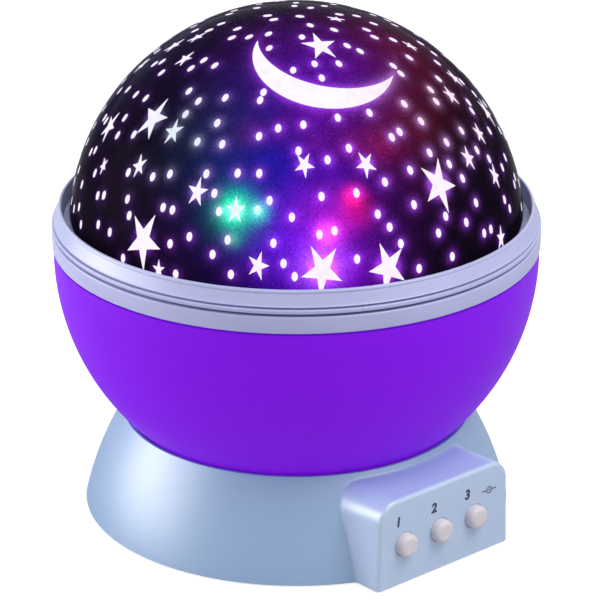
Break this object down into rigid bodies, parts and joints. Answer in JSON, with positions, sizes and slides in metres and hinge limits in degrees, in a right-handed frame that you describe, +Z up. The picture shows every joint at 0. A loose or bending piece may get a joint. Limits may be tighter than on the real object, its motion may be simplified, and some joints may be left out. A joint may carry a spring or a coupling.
{
  "type": "star night light projector",
  "caption": "Round night light: black star-window dome over a coloured bowl with a silver ring, turning on a bell-shaped base with a push-button panel.",
  "frame": {"origin": "on the globe's axis, on the surface that the rubber feet rest on", "axes": "+Z up along the globe's axis, the control panel faces -Y, +X to the right of the panel"},
  "size_m": [0.13, 0.13, 0.1384],
  "materials": {
    "clear_dome": "clear moulded, polished",
    "black_layer": "black print on clear film",
    "silver_ring": "satin silver-lilac",
    "purple_bowl": "smooth moulded",
    "blue_base": "satin moulded",
    "cream_button": "satin moulded",
    "white_plastic": "moulded",
    "gear_plastic": "moulded acetal",
    "black_plastic": "moulded",
    "circuit_board": "lacquered laminate",
    "wire_cover": "extruded",
    "foot_rubber": "moulded",
    "screw_steel": "zinc plated",
    "motor_steel": "plain"
  },
  "bodies": {
    "base": {"base_shell": "blue_base", "bottom_cover": "blue_base", "case_screws": "screw_steel", "rubber_feet": "foot_rubber", "thrust_ring": "gear_plastic", "gear_axle": "screw_steel", "drive_motor": "motor_steel", "motor_strap": "motor_steel", "strap_screws": "screw_steel", "led_post": "white_plastic", "led_board": "circuit_board", "leds": "clear_dome", "led_collar": "white_plastic", "battery_cells": "motor_steel", "battery_springs": "screw_steel", "battery_contacts": "screw_steel", "main_board": "circuit_board", "board_parts": "black_plastic", "board_screws": "screw_steel", "button_board": "circuit_board", "button_switches": "black_plastic", "button_board_screws": "screw_steel", "dc_jack": "black_plastic", "led_wires": "wire_cover", "motor_wires": "wire_cover", "harness_wires": "wire_cover"},
    "globe": {"bowl": "purple_bowl", "bowl_rim": "silver_ring", "reflector_plate": "white_plastic", "plate_screws": "screw_steel", "turntable_gear": "gear_plastic", "hub_screws": "screw_steel"},
    "cover": {"star_dome": "clear_dome", "star_mask": "black_layer", "dome_bezel": "silver_ring"},
    "reduction": {"reduction_gear": "gear_plastic"},
    "pinion": {"motor_pinion": "gear_plastic", "motor_shaft": "screw_steel"},
    "first_button": {"button_1": "cream_button"},
    "second_button": {"button_2": "cream_button"},
    "third_button": {"button_3": "cream_button"},
    "door": {"battery_door": "blue_base", "door_screws": "screw_steel"}
  },
  "joints": [
    {"name": "globe_spin", "type": "hinge", "parent": "base", "child": "globe", "pos_m": [0, 0, 0.024], "axis": [0, 0, 1], "continuous": true},
    {"name": "cover_lift", "type": "slide", "parent": "globe", "child": "cover", "axis": [0, 0, 1], "range_m": [0, 0.07]},
    {"name": "reduction_spin", "type": "hinge", "parent": "base", "child": "reduction", "pos_m": [-0.01201, -0.02623, 0.016], "axis": [0, 0, 1], "continuous": true},
    {"name": "pinion_spin", "type": "hinge", "parent": "base", "child": "pinion", "pos_m": [-0.03085, -0.01937, 0.016], "axis": [0, 0, 1], "continuous": true},
    {"name": "first_button_press", "type": "slide", "parent": "base", "child": "first_button", "axis": [0, 1, 0], "range_m": [0, 0.0015], "stiffness_N_per_m": 800},
    {"name": "second_button_press", "type": "slide", "parent": "base", "child": "second_button", "axis": [0, 1, 0], "range_m": [0, 0.0015], "stiffness_N_per_m": 800},
    {"name": "third_button_press", "type": "slide", "parent": "base", "child": "third_button", "axis": [0, 1, 0], "range_m": [0, 0.0015], "stiffness_N_per_m": 800},
    {"name": "door_drop", "type": "slide", "parent": "base", "child": "door", "axis": [0, 0, -1], "range_m": [0, 0.03]}
  ],
  "couplings": [
    {"joint": "reduction_spin", "follows": "globe_spin", "ratio": -5},
    {"joint": "pinion_spin", "follows": "globe_spin", "ratio": 20}
  ]
}
